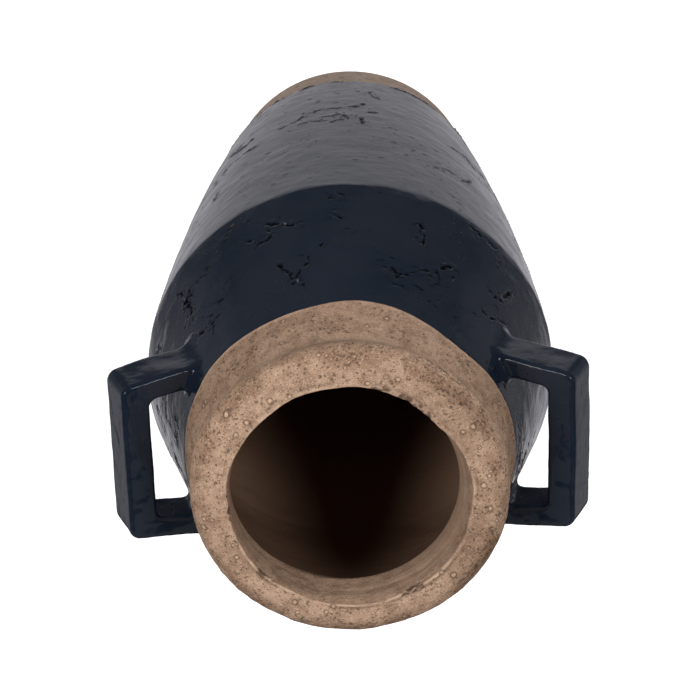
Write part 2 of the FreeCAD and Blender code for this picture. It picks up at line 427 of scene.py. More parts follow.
def make_glaze(name, smooth, rough):
    """Blue-black gloss over iron-rich clay: faint brushed streaks, pinholes, worn brown spots. Its
    roughness wanders between two values."""
    g = Graph(name)
    streaks = g.noise(1.0, 4.0, 0.6, g.stretched(260, 26))
    pinholes = g.dots(330, 0.08, 0.20, g.ramp(g.noise(60, 2.0), 0.55, 0.64))
    body = g.mix(g.ramp(g.noise(18), 0.35, 0.65), colour(0.0068, 0.0112, 0.0200),
                 colour(0.0108, 0.0150, 0.0240))
    body = g.mix(g.ramp(streaks, 0.45, 0.75, 0.0, 0.35), body, colour(0.014, 0.017, 0.023))
    body = g.mix(pinholes, body, colour(0.002, 0.002, 0.002))
    body = g.mix(g.ramp(g.mark("pit"), 0.2, 0.9, 0.0, 0.9), body, colour(0.0025, 0.002, 0.002))
    body = g.mix(g.ramp(g.mark("spot"), 0.25, 0.6, 0.0, 0.8), body, colour(0.075, 0.042, 0.024))
    matt = g.ramp(g.noise(60, 5.0), 0.3, 0.7, smooth, rough)
    matt = g.plus(matt, g.times(g.mark("spot"), 0.4))
    matt = g.plus(matt, g.times(pinholes, 0.3))
    fine = g.plus(g.times(streaks, 0.45), g.times(g.noise(190, 3.0), 0.4))
    fine = g.minus(fine, g.times(pinholes, 0.8))
    shine = g.ramp(g.mark("pit"), 0.2, 0.9, 0.5, 0.12)
    return g.finish(Base_Color=body, Roughness=matt, Normal=g.bump(fine, 0.00020), IOR=1.5,
                    Specular_IOR_Level=shine)


def make_clay(name, light, dark, tint, grain=1.0, specks=1.0):
    """Unglazed gritty clay between two colours, with dark pits, pale grit and tint in patches, and painted
    shade where the pieces' marks call for it.
    """
    g = Graph(name)
    grains = g.noise(1400, 3.0, 0.7)
    crowd = g.plus(g.noise(75, 3.0), g.times(g.mark("roll_shade_and_pits"), 0.12))
    fine_pits = g.dots(720, 0.12, 0.28, g.ramp(crowd, 0.44, 0.58))
    big_pits = g.dots(380, 0.08, 0.17, g.ramp(g.noise(110, 2.0), 0.50, 0.60))
    grit = g.dots(360, 0.10, 0.21, g.ramp(g.noise(90, 2.0), 0.56, 0.64), g.stretched(1.3, 1.0))
    # Painted shade on the rim's roll under the groove, in patches; the same mark also crowds the fine pits
    # there.
    painted_roll_shade = g.times(g.mark("roll_shade_and_pits"), g.ramp(g.noise(60, 3.0), 0.40, 0.58, 0.10, 0.92))
    holes = tone(dark, 0.30, 0.30, 0.30)
    cream = colour(*(part * 1.5 + 0.04 for part in light[:3]))
    body = g.mix(g.ramp(g.noise(28, 4.0, 0.6), 0.38, 0.66), light, tint)
    body = g.mix(g.ramp(g.noise(150, 4.0, 0.62), 0.40, 0.64, 0.0, 0.80), body, dark)
    body = g.mix(painted_roll_shade, body, tone(dark, 0.78, 0.74, 0.70))
    body = g.mix(g.ramp(grains, 0.40, 0.60, 0.0, 0.60), body, dark)
    body = g.mix(g.ramp(g.noise(1150, 2.0, 0.6), 0.56, 0.70, 0.0, 0.42 * specks), body, cream)
    body = g.mix(g.times(fine_pits, 0.80 * specks), body, holes)
    body = g.mix(g.times(big_pits, 0.88 * specks), body, holes)
    body = g.mix(g.times(grit, 0.42 * specks), body, cream)
    body = g.mix(g.times(g.mark("ring"), 0.40), body, cream)
    body = g.mix(g.times(g.mark("pale"), 0.50), body, cream)
    body = g.mix(g.times(g.mark("pit"), 0.85), body, holes)
    # Painted shade in the groove, and the bore's darker, greyer tone with painted light at one side.
    body = g.mix(g.mark("groove_shade_and_bore_grey"), body, tone(dark, 0.90, 0.94, 0.96))
    # Painted shade, multiplied in from the shade mark.
    body = g.mix(g.mark("shade"), body, colour(0.40, 0.375, 0.355), "MULTIPLY")
    body = g.mix(g.mark("deep"), body, colour(0.205, 0.122, 0.080))
    height = g.plus(g.times(grains, 0.9), g.times(g.noise(330, 4.0, 0.7), 2.0))
    height = g.minus(height, g.times(fine_pits, 0.9 * specks))
    height = g.minus(height, g.times(big_pits, 1.3 * specks))
    height = g.times(height, g.ramp(g.mark("groove_shade_and_bore_grey"), 0.1, 0.8, 1.0, 0.25))
    return g.finish(Base_Color=body, Roughness=0.9, Normal=g.bump(height, 0.00026 * grain), IOR=1.45,
                    Specular_IOR_Level=0.25)


GLAZE_LOOK = make_glaze("navy_glaze", 0.12, 0.22)
HANDLE_LOOK = make_glaze("navy_glaze_thick", 0.05, 0.12)
NECK_LOOK = make_clay("raw_neck_clay", colour(0.500, 0.344, 0.242), colour(0.270, 0.170, 0.114),
                      colour(0.430, 0.282, 0.195), grain=1.5)
INSIDE_LOOK = make_clay("raw_inside_clay", colour(0.115, 0.076, 0.054), colour(0.080, 0.052, 0.037),
                        colour(0.100, 0.066, 0.048), grain=0.8, specks=0.5)
FOOT_LOOK = make_clay("raw_foot_clay", colour(0.290, 0.215, 0.170), colour(0.200, 0.146, 0.112),
                      colour(0.255, 0.188, 0.146), grain=0.6, specks=0.6)


# ---- the turned pieces

def smooth_step(low, high, value):
    part = np.clip((value - low) / (high - low), 0, 1)
    return part * part * (3 - 2 * part)


def soften(points, passes):
    """An open run of points with its corners rounded, its ends kept."""
    run = np.array(points)
    for _ in range(passes):
        run[1:-1] = (run[:-2] + 2 * run[1:-1] + run[2:]) / 4
    return [tuple(point) for point in run]


def bump_at(angle, degrees, width):
    """1 at some degrees round the pot, falling smoothly to 0 at about twice width from there. angle
    and width are in radians."""
    away = np.angle(np.exp(1j * (angle - math.radians(degrees))))
    return np.exp(-(away / width) ** 2)


def bell(value, centre, width):
    """1 where value is centre, falling smoothly to 0 at about twice width from there."""
    return np.exp(-((value - centre) / width) ** 2)


def neck_line(angle):
    """How far the glaze's upper edge stands above its usual height, round the pot."""
    high_side = 5.4 * bump_at(angle, -134, 0.34)
    low_sides = -2.2 * bump_at(angle, -95, 0.24) - 1.6 * bump_at(angle, -38, 0.4)
    waver = 0.35 * np.sin(5 * angle + 1.0) + 0.25 * np.sin(11 * angle + 0.4)
    return high_side + low_sides + waver


def foot_line(angle):
    """The same for the glaze's lower edge."""
    return 0.9 * np.sin(2 * angle + 0.6) + 0.6 * np.sin(7 * angle) + 0.3 * np.sin(17 * angle + 2)


def turning_marks(piece, strength, pitch, seed):
    """Shallow lines left round the pot by the potter's fingers."""
    spots = piece.points() * np.array([0.04, 0.04, 1.0])
    return strength * piece.grid(fractal(spots, pitch, seed, 3, 0.6))


def lumps(piece, strength, size, seed, octaves=3):
    return strength * piece.grid(fractal(piece.points(), size, seed, octaves))


def scatter(piece, count, allowed, width, depth, long, lean=0.3, lip=0.0, mark="pit", clumps=0.0,
            clump_size=30, seed=1):
    """count pits at random where allowed(radius, height) holds. width, depth and long are ranges;
    clumps above 0 keeps them to patches."""
    rows = np.array([i for i, (r, z) in enumerate(piece.outline) if allowed(r, z)])
    draw = np.random.default_rng(seed)
    made = 0
    field = lumps(piece, 1, clump_size, seed + 50, 2) if clumps else None
    while made < count:
        row = int(draw.choice(rows))
        column = int(draw.integers(piece.turns))
        if clumps and field[row, column] < clumps * draw.uniform(0.3, 1.2):
            continue
        size = width[0] + (width[1] - width[0]) * draw.power(0.45)
        deep = draw.uniform(*depth) * (0.5 + 0.5 * size / width[1])
        piece.crater(row, column, size, deep, draw.uniform(*long), draw.normal(0, lean), lip * deep, mark)
        made += 1


def crack(piece, start, finish, width, depth, draw):
    """A broken line of pits between two places, each (degrees round the pot, height)."""
    turned, up = finish[0] - start[0], finish[1] - start[1]
    across = math.radians(turned) * RIDGE_RADIUS
    steps = max(1, round(math.hypot(across, up) / width))
    lean = math.atan2(up, across)
    wander = 0.0
    for i in range(steps + 1):
        part = i / steps
        wander = 0.7 * wander + draw.normal(0, 0.3 * width)
        fullness = draw.uniform(0.45, 1.15)
        row, column = piece.spot(start[0] + turned * part, start[1] + up * part + wander)
        piece.crater(row, column, 1.6 * width * fullness, 1.5 * depth * fullness,
                     draw.uniform(1.1, 2.0), lean + draw.normal(0, 0.25), 0.28 * depth, "pit")


def crack_trails(piece, count, low, high, draw):
    """Clusters of short cracks and pits that wander over the glaze, between two heights."""
    round_a_degree = math.radians(1) * RIDGE_RADIUS
    for _ in range(count):
        place = np.array([draw.uniform(-180, 180), draw.uniform(low, high)])
        heading = draw.uniform(0, 2 * math.pi)
        for _ in range(draw.integers(1, 7)):
            heading += draw.normal(0, 0.9)
            way = np.array([math.cos(heading) / round_a_degree, math.sin(heading)])
            finish = place + way * draw.uniform(1, 7)
            finish[1] = np.clip(finish[1], low, high)
            crack(piece, place, finish, draw.uniform(0.9, 2.6), draw.uniform(0.25, 0.75), draw)
            for _ in range(draw.integers(1, 5)):
                row, column = piece.spot(finish[0] + draw.normal(0, 3) / round_a_degree,
                                         finish[1] + draw.normal(0, 3))
                piece.crater(row, column, draw.uniform(0.9, 2.2), draw.uniform(0.2, 0.6),
                             draw.uniform(1, 1.8), draw.uniform(0, math.pi), 0.15, "pit")
            place = finish + way * draw.uniform(1, 6)
            place[1] = np.clip(place[1], low, high)


def make_base():
    """The slab inside the foot, with a spiral left on top by the last pull."""
    centre, rim = (0, BASE_THICKNESS), (BASE_DISC_RADIUS, BASE_THICKNESS)
    piece = Turned(path((0, 0), 4, (BASE_DISC_RADIUS, 0), 3, rim, 1.2, centre) + [centre], 240)
    piece.normal[0] = (0, -1)
    piece.normal[-1] = (0, 1)
    top = (piece.height > BASE_THICKNESS - 0.1) * (piece.radius < BASE_DISC_RADIUS - 3)
    spiral_pitch = 9
    spiral = np.sin(2 * math.pi * piece.radius / spiral_pitch + piece.angle)
    piece.relief -= 0.35 * (1 + spiral) * smooth_step(0, 12, piece.radius) * top
    under = (piece.height < 0.1) * smooth_step(0, 6, piece.radius)
    piece.relief -= 0.15 * under * np.abs(lumps(piece, 1.0, 14, 3))
    closed = piece.mesh("base_slab", closed=False)
    finish_piece(closed, INSIDE_LOOK, "foot_clay", "base_disc")


def make_body_clay():
    """The body's clay wall: bare at the foot, under the glaze above it, thrown rings inside."""
    sole = (FOOT_RADIUS - FOOT_ROUND, 0)
    foot_edge = (FOOT_RADIUS, FOOT_ROUND)
    glaze_edge = (GLAZE_LINE_RADIUS - GLAZE, GLAZE_LINE)
    skirt = (GLAZE_LINE_RADIUS - CLAY_BACK, GLAZE_LINE + 4)
    top = (RIDGE_RADIUS - CLAY_BACK, RIDGE_HEIGHT)
    inner_top = (RIDGE_INSIDE, RIDGE_HEIGHT)
    inner_floor = (BASE_DISC_RADIUS, BASE_THICKNESS)
    outline = (arc(sole, foot_edge, FOOT_ROUND, -1, 0.8) + flare(foot_edge, glaze_edge, 1.0)
               + line(glaze_edge, skirt, 2) + flare(skirt, top, 9) + line(top, inner_top, 4)
               + flare(inner_top, inner_floor, 1.8, inward=True)
               + path(inner_floor, 5, (BASE_DISC_RADIUS, 0), 2, sole))
    piece = Turned(outline, 560)
    set_inner_joint(piece)
    inner_limit = FOOT_RADIUS - 2 + (RIDGE_INSIDE - BASE_DISC_RADIUS) * piece.height / RIDGE_HEIGHT
    inside = piece.radius < np.minimum(RIDGE_INSIDE + 1, inner_limit)
    foot = ((piece.height > FOOT_ROUND - 0.1) * (piece.height < GLAZE_LINE + 1)
            * (piece.radius > BASE_DISC_RADIUS + WALL / 2))
    piece.relief += foot * (turning_marks(piece, 0.16, 5, 11) + lumps(piece, 0.12, 9, 12))
    piece.relief += inside * (piece.height > BASE_THICKNESS + 3) * inner_relief(piece)
    piece.add_mark("deep", 0.95 * inside * (piece.height > BASE_THICKNESS))
    scatter(piece, 500, lambda r, z: 3 < z < GLAZE_LINE - 2 and r > FOOT_RADIUS - 1,
            (0.9, 3), (0.15, 0.5), (1, 2), seed=15)
    finish_piece(piece.mesh("body_clay"), FOOT_LOOK, "foot_clay", "body_wall")


def make_body_glaze():
    """The glaze on the body, with a soft thick edge at its lower end and a worn ridge on top."""
    edge = 0.7
    drip = (GLAZE_LINE_RADIUS - edge, GLAZE_LINE)
    low = (GLAZE_LINE_RADIUS, GLAZE_LINE + edge)
    ridge_start = (RIDGE_RADIUS - 0.02, RIDGE_HEIGHT - RIDGE_OVERLAP)
    ridge = (RIDGE_RADIUS, RIDGE_HEIGHT)
    last = (RIDGE_RADIUS + CONE_SLOPE * RIDGE_OVERLAP, RIDGE_HEIGHT + RIDGE_OVERLAP)
    back_top, back_low = (last[0] - GLAZE_BACK, last[1]), (low[0] - GLAZE_BACK, low[1])
    outside = (arc(drip, low, edge, -1, 0.4) + flare(low, ridge_start, 1.3)
               + soften(path(ridge_start, 0.5, ridge, 0.5, last) + [last], 5)[:-1])
    outline = (outside + line(last, back_top, 0.7) + flare(back_top, back_low, 9, True)
               + line(back_low, drip, 0.5))
    piece = Turned(outline, 800)
    piece.outer_rows = len(outside)
    piece.way = np.array([low[0] - FOOT_RADIUS, low[1]]) / math.hypot(low[0] - FOOT_RADIUS, low[1])
    piece.climb += foot_line(piece.angle) * (1 - smooth_step(GLAZE_LINE, GLAZE_LINE + 18, piece.height))
    piece.relief += piece.seen() * glaze_relief(piece)
    draw = np.random.default_rng(21)
    crack_trails(piece, 68, 60, 294, draw)
    for _ in range(34):
        degrees, height = draw.uniform(-180, 180), draw.uniform(44.5, 47)
        finish = (degrees + draw.uniform(2, 10), height + 1)
        crack(piece, (degrees, height), finish, draw.uniform(1.6, 2.8), 0.55, draw)
    scatter(piece, 520, lambda r, z: r > RIDGE_RADIUS - 32 and GLAZE_LINE + 4 < z < RIDGE_HEIGHT - 4,
            (1.3, 3.0), (0.15, 0.50), (1.0, 2.6), 0.2, lip=0.3, seed=22, clumps=0.1)
    piece.relief = np.maximum(piece.relief, DEEPEST_PIT)
    finish_piece(piece.mesh("body_glaze_coat"), GLAZE_LOOK, "navy_glaze", "body_glaze")


def glaze_relief(piece):
    """Lumps and throwing lines that every glazed wall shares, and a slightly wavy ridge."""
    ridge_waver = bell(piece.height, RIDGE_HEIGHT, 3) * lumps(piece, 0.28, 22, 31)
    return (turning_marks(piece, 0.022, 9, 32) + lumps(piece, 0.30, 42, 33)
            + lumps(piece, 0.12, 10, 34, 4) + ridge_waver)


def set_inner_joint(piece):
    """Point the inner wall straight inwards at the ridge, where the body meets the shoulder."""
    away = np.hypot(piece.outline[:, 0] - RIDGE_INSIDE, piece.outline[:, 1] - RIDGE_HEIGHT)
    piece.normal[int(np.argmin(away))] = (-1, 0)


def inner_relief(piece):
    """Throwing rings and lumps on the inner wall, with its corner at the ridge filled in."""
    reach = 28
    away = np.abs(piece.height - RIDGE_HEIGHT)
    filled = -CONE_SLOPE / (4 * reach) * np.clip(reach - away, 0, None) ** 2
    return filled + turning_marks(piece, 0.20, 16, 13) + lumps(piece, 0.35, 30, 14)


def make_shoulder_clay():
    """The shoulder's clay, hidden under its glaze outside and thrown in rings inside."""
    low, high = (RIDGE_RADIUS - CLAY_BACK, RIDGE_HEIGHT), (NECK_RADIUS - CLAY_BACK, NECK_HEIGHT)
    inner_high, inner_low = (NECK_INSIDE, NECK_HEIGHT), (RIDGE_INSIDE, RIDGE_HEIGHT)
    piece = Turned(path(low, 9, high, 3, inner_high, 1.5, inner_low, 4, low), 560)
    set_inner_joint(piece)
    inner_wall = RIDGE_INSIDE + CONE_SLOPE * (piece.height - RIDGE_HEIGHT)
    inside = (np.abs(piece.radius - inner_wall) < 0.1) * (piece.height < NECK_HEIGHT - 2)
    piece.relief += inside * inner_relief(piece)
    piece.add_mark("deep", 0.95)
    finish_piece(piece.mesh("shoulder_clay"), INSIDE_LOOK, "raw_clay", "shoulder_wall")


def make_shoulder_glaze():
    """The glaze on the shoulder's cone, from just above the ridge to the raw collar."""
    first = (RIDGE_RADIUS + CONE_SLOPE * RIDGE_OVERLAP, RIDGE_HEIGHT + RIDGE_OVERLAP)
    last = (NECK_RADIUS, NECK_HEIGHT)
    back_last, back_first = (last[0] - GLAZE_BACK, last[1]), (first[0] - GLAZE_BACK, first[1])
    outside = line(first, last, 1.05)
    piece = Turned(outside + path(last, 0.7, back_last, 9, back_first, 0.7, first), 800)
    piece.outer_rows = len(outside)
    piece.normal[0] = piece.normal[1]
    piece.normal[len(outside)] = piece.normal[len(outside) - 1]
    piece.way = UP_THE_CONE
    piece.climb += neck_line(piece.angle) * smooth_step(NECK_HEIGHT - 26, NECK_HEIGHT, piece.height)
    piece.relief += piece.seen() * glaze_relief(piece)
    piece.relief -= 0.25 * piece.seen() * smooth_step(NECK_HEIGHT - 1.5, NECK_HEIGHT, piece.height)
    crack_trails(piece, 44, 306, 390, np.random.default_rng(41))

    def between_edges(r, z):
        return RIDGE_HEIGHT + 5 < z < NECK_HEIGHT - 4

    scatter(piece, 420, between_edges, (1.2, 2.8), (0.15, 0.55), (1.0, 2.4), 0.3, lip=0.35, seed=42,
            clumps=0.25)
    scatter(piece, 14, between_edges, (1.2, 2.0), (0.15, 0.3), (1.0, 2.0), 0.3, seed=43, mark="spot")
    piece.relief = np.maximum(piece.relief, DEEPEST_PIT)
    finish_piece(piece.mesh("shoulder_glaze_coat"), GLAZE_LOOK, "navy_glaze", "shoulder_glaze")


def neck_outline():
    """One soft curve up the collar, through the groove and over the rim, and down the bore, cut
    into the collar's outside, the rim and the ledge under the bore, which share their end points."""
    spacing = 0.5
    groove = (GROOVE_RADIUS, GROOVE_HEIGHT)
    roll_start = (RIM_RADIUS, RIM_FLAT_HEIGHT - RIM_ROLL)
    roll_end = (RIM_RADIUS - RIM_ROLL, RIM_FLAT_HEIGHT)
    bore_joint = (BORE_RADIUS, GROOVE_HEIGHT)
    inner_end = (NECK_INSIDE, NECK_HEIGHT)
    collar = (line((NECK_RADIUS, NECK_HEIGHT), COLLAR_EDGE, spacing)
              + arc(COLLAR_EDGE, groove, COLLAR_CURVE, 1, spacing))
    rim = (arc(groove, roll_start, RIM_SWELL, -1, spacing)
           + arc(roll_start, roll_end, RIM_ROLL, -1, spacing)
           + path(roll_end, spacing, (LIP_RADIUS, MOUTH_HEIGHT), spacing, bore_joint))
    ledge = path(bore_joint, 0.9, (BORE_RADIUS, BORE_HEIGHT), 1.8, inner_end) + [inner_end]
    run = soften(collar + rim + ledge, 5)
    rim_start, rim_end = len(collar), len(collar) + len(rim)
    return run[:rim_start + 1], run[rim_start:rim_end + 1], run[rim_end:]


def neck_relief(piece):
    """Relief that the collar and the rim share, so that they meet exactly at their joint."""
    smooth = bore_mask(piece)
    rough = (1 - 0.75 * smooth) * (lumps(piece, 0.32, 26, 51) + lumps(piece, 0.12, 5, 52, 4))
    return rough + smooth * turning_marks(piece, 0.22, 3.5, 53)


def neck_slide(piece):
    """Sideways lean of the bore away from the pot's axis, and the uneven edge of the lip."""
    radius, height, angle = piece.radius, piece.height, piece.angle
    within = 1 - smooth_step(LIP_RADIUS + 1, LIP_RADIUS + 9, radius)
    below_lip = 1 - smooth_step(BORE_HEIGHT + 6, MOUTH_HEIGHT - 1.5, height)
    lean = within * below_lip * smooth_step(NECK_HEIGHT, BORE_HEIGHT - 2, height)
    at_lip = bell(radius, LIP_RADIUS, 4) * smooth_step(MOUTH_HEIGHT - 8, MOUTH_HEIGHT - 1, height)
    inward = (2.3 * bump_at(angle, -134, 0.40) + 0.9 * bump_at(angle, -52, 0.35)
              + 0.3 * np.sin(7 * angle) + 0.2 * np.sin(13 * angle + 1))
    for axis, part in enumerate((np.cos(angle), np.sin(angle))):
        piece.slide[..., axis] += lean * BORE_LEAN[axis] - at_lip * inward * part


def bore_mask(piece):
    """1 on the smooth bore, 0 on the rough outside, turning from one to the other at the lip."""
    bore = 1 - smooth_step(LIP_RADIUS - 1.5, LIP_RADIUS - 0.2, piece.radius)
    below = 1 - smooth_step(BORE_HEIGHT - 4, BORE_HEIGHT, piece.height)
    return np.maximum(bore, below * (piece.radius < NECK_RADIUS - 9))


def shade_neck(piece):
    """Painted shade in the groove and on the collar's and rim's sides, and a darker, greyer bore left lighter
    at 60 degrees round the pot as painted light.
    """
    patchy = 0.75 + lumps(piece, 0.35, 24, 57, 2)
    outside = smooth_step(BORE_RADIUS + 8, BORE_RADIUS + 12, piece.radius)
    groove = outside * bell(piece.height, GROOVE_HEIGHT + 0.3, 2.6)
    bore = bore_mask(piece)
    # The bore's darker, greyer tone, eased at 60 degrees round the pot as painted light where the lamps reach
    # it less; in the groove the mark is painted shade.
    bore_darkening = 0.66 - 0.62 * bump_at(piece.angle, 60, 0.85)
    piece.add_mark("groove_shade_and_bore_grey", np.clip(0.75 * groove * patchy + bore_darkening * bore, 0, 1))
    # Painted shade on the collar, the rim's roll and the rim's front, each darkest at its own angles round
    # the pot.
    collar = 0.44 + 0.40 * bump_at(piece.angle, -40, 0.75)
    roll = 0.10 + 0.72 * bump_at(piece.angle, -58, 0.75)
    front = 0.06 + 0.54 * bump_at(piece.angle, 150, 0.32) + 0.34 * bump_at(piece.angle, -138, 0.55)
    on_rim = smooth_step(GROOVE_HEIGHT - 3, GROOVE_HEIGHT + 3, piece.height)
    on_front = smooth_step(RIM_FLAT_HEIGHT - 8, RIM_FLAT_HEIGHT - 2, piece.height)
    shade = collar + on_rim * (roll - collar) + on_front * (front - roll)
    piece.add_mark("shade", np.clip(shade * patchy * (1 - bore), 0, 1))


def make_collar():
    """The raw collar between the glaze and the groove, and the ledge under the bore."""
    outside, _, ledge = neck_outline()
    outline = (outside[:-1] + line(outside[-1], ledge[0], 3) + ledge[:-1]
               + line(ledge[-1], outside[0], 1.5))
    piece = Turned(outline, 1080)
    joint = len(outside) - 1
    piece.normal[0] = piece.normal[2]
    piece.normal[joint] = piece.normal[joint - 1]
    piece.way = UP_THE_CONE
    on_cone = smooth_step(BORE_RADIUS + 16.5, BORE_RADIUS + 18.5, piece.radius)
    piece.climb += neck_line(piece.angle) * (on_cone * (1 - smooth_step(NECK_HEIGHT, NECK_HEIGHT + 18,
                                                                        piece.height)))
    piece.relief += neck_relief(piece)
    proud = bell(piece.height, NECK_HEIGHT + 0.8, 0.9) * (piece.radius > BORE_RADIUS + 18)
    left_edge = proud * (0.25 + 0.75 * bump_at(piece.angle, -48, 0.38))
    piece.relief += 0.45 * left_edge
    piece.add_mark("pale", 0.8 * left_edge)
    neck_slide(piece)

    def outer(r, z):
        return r > GROOVE_RADIUS + 0.8 and NECK_HEIGHT + 1.5 < z < GROOVE_HEIGHT - 3.5

    scatter(piece, 620, outer, (0.8, 1.7), (0.10, 0.32), (1, 1.8), 0.5, seed=61)
    scatter(piece, 420, outer, (0.7, 1.5), (0.15, 0.36), (1, 2.4), 0.4, seed=63, clumps=0.3,
            clump_size=16)
    scatter(piece, 60, outer, (1.2, 2.6), (0.10, 0.30), (1, 1.5), 0.6, lip=0.9, mark="ring", seed=62)
    shade_neck(piece)
    finish_piece(piece.mesh("neck_collar_clay"), NECK_LOOK, "raw_clay", "neck_collar")


def make_rim():
    """The heavy rolled rim: pitted and crumbly outside and on top, smooth down the bore."""
    _, outside, _ = neck_outline()
    piece = Turned(outside[:-1] + line(outside[-1], outside[0], 3), 1080)
    last = len(outside) - 1
    radius, height = piece.radius, piece.height
    piece.normal[0] = piece.normal[1]
    piece.normal[last] = piece.normal[last - 1]
    piece.relief += neck_relief(piece)
    broken = np.clip(0.55 + lumps(piece, 0.9, 15, 75), 0, 1)
    on_top = smooth_step(MOUTH_HEIGHT - 3, MOUTH_HEIGHT - 1, height)
    crest = on_top * bell(radius, LIP_RADIUS + 0.4, 0.9) * broken
    trench = on_top * bell(radius, LIP_RADIUS + 2.6, 0.8) * broken
    piece.relief += 0.40 * crest - 0.45 * trench
    piece.add_mark("pale", 0.55 * crest)
    piece.add_mark("pit", 0.45 * trench * broken)
    worn = bump_at(piece.angle, 90, 0.7) * smooth_step(GROOVE_HEIGHT, GROOVE_HEIGHT + 5, height)
    piece.relief -= 0.5 * worn * (1 - bore_mask(piece))
    neck_slide(piece)

    def rough(r, z):
        return r > LIP_RADIUS + 1 and z > GROOVE_HEIGHT + 4

    def rolled(r, z):
        return r > LIP_RADIUS + 11 and z > GROOVE_HEIGHT + 6

    def lip(r, z):
        return LIP_RADIUS - 0.8 < r < LIP_RADIUS + 2.5 and z > MOUTH_HEIGHT - 3

    scatter(piece, 1500, rough, (0.7, 1.5), (0.12, 0.34), (1, 1.8), 0.6, seed=71)
    scatter(piece, 1100, rolled, (0.7, 1.5), (0.15, 0.38), (1, 2.2), 0.4, seed=74, clumps=0.1,
            clump_size=14)
    scatter(piece, 110, rough, (1.2, 2.8), (0.10, 0.30), (1, 1.4), 0.7, lip=0.9, mark="ring", seed=72)
    scatter(piece, 130, lip, (1.2, 3.0), (0.15, 0.45), (1, 2.6), 0.15, seed=73, clumps=0.2)
    shade_neck(piece)
    # Under the groove: painted shade on the roll, and more fine pits.
    piece.add_mark("roll_shade_and_pits", bell(radius, GROOVE_RADIUS - 2, 4) * (height > GROOVE_HEIGHT + 5))
    finish_piece(piece.mesh("rim_clay"), NECK_LOOK, "raw_clay", "rim")


# ---- the handles

def polygon_distance(x, y, corners):
    """Signed distance from grid points to a closed polygon, negative inside."""
    nearest = np.full(x.shape, 1e9)
    inside = np.zeros(x.shape, dtype=bool)
    for (ax, ay), (bx, by) in zip(corners, corners[1:] + corners[:1]):
        ex, ey = bx - ax, by - ay
        along = np.clip(((x - ax) * ex + (y - ay) * ey) / (ex * ex + ey * ey), 0, 1)
        nearest = np.minimum(nearest, np.hypot(x - ax - along * ex, y - ay - along * ey))
        if ay != by:
            crosses = ((ay > y) != (by > y)) & (x < ax + (y - ay) * ex / ey)
            inside ^= crosses
    return np.where(inside, -nearest, nearest)


def smooth_union(first, second, blend):
    """The nearer of two distances, filleted where they meet."""
    part = np.clip(0.5 + 0.5 * (second - first) / blend, 0, 1)
    return second * (1 - part) + first * part - blend * part * (1 - part)


def surface_nets(values, origin, step):
    """Vertices and outward quads of the surface where values, a 3-D grid, changes sign."""
    size = np.array(values.shape)
    below = values < 0
    cells = size - 1
    total = np.zeros(tuple(cells) + (3,))
    count = np.zeros(tuple(cells))
    corner = np.stack(np.meshgrid(*[np.arange(n) for n in cells], indexing="ij"), axis=3).astype(float)

    def block(array, offset):
        return array[tuple(slice(o, o + n) for o, n in zip(offset, cells))]

    for axis in range(3):
        others = [a for a in range(3) if a != axis]
        for bits in np.ndindex(2, 2):
            start = [0, 0, 0]
            start[others[0]], start[others[1]] = bits
            finish = list(start)
            finish[axis] = 1
            low, high = block(values, start), block(values, finish)
            crossed = block(below, start) != block(below, finish)
            share = np.where(crossed, low / np.where(crossed, low - high, 1), 0)
            spot = corner + np.array(start)
            spot[..., axis] += share
            total += np.where(crossed[..., None], spot, 0)
            count += crossed
    used = count > 0
    index = np.full(tuple(cells), -1)
    index[used] = np.arange(used.sum())
    vertices = total[used] / count[used][:, None]

    faces = []
    for axis in range(3):
        others = [(axis + 1) % 3, (axis + 2) % 3]
        low = [slice(1, n) for n in cells]
        low[axis] = slice(0, cells[axis])
        high = list(low)
        high[axis] = slice(1, cells[axis] + 1)
        first, second = below[tuple(low)], below[tuple(high)]
        changed = np.argwhere(first != second)
        rises = first[tuple(changed.T)]
        base = changed + 1
        base[:, axis] -= 1
        ring = []
        for back in ((1, 1), (0, 1), (0, 0), (1, 0)):
            cell = base.copy()
            cell[:, others[0]] -= back[0]
            cell[:, others[1]] -= back[1]
            ring.append(index[tuple(cell.T)])
        quad = np.stack(ring, axis=1)
        quad[~rises] = quad[~rises][:, ::-1]
        faces.append(quad)
    return origin + vertices * step, np.concatenate(faces)


def handle_to_pot(points, side):
    """From the handle's own flat frame (reach, length, width) to the pot's, on side 1 or -1."""
    cos, sin = math.cos(HANDLE_TILT), math.sin(HANDLE_TILT)
    x = points[..., 0] * cos - points[..., 2] * sin
    z = points[..., 0] * sin + points[..., 2] * cos + HANDLE_HEIGHT
    return np.stack([x * side, points[..., 1] * side, z], axis=-1)


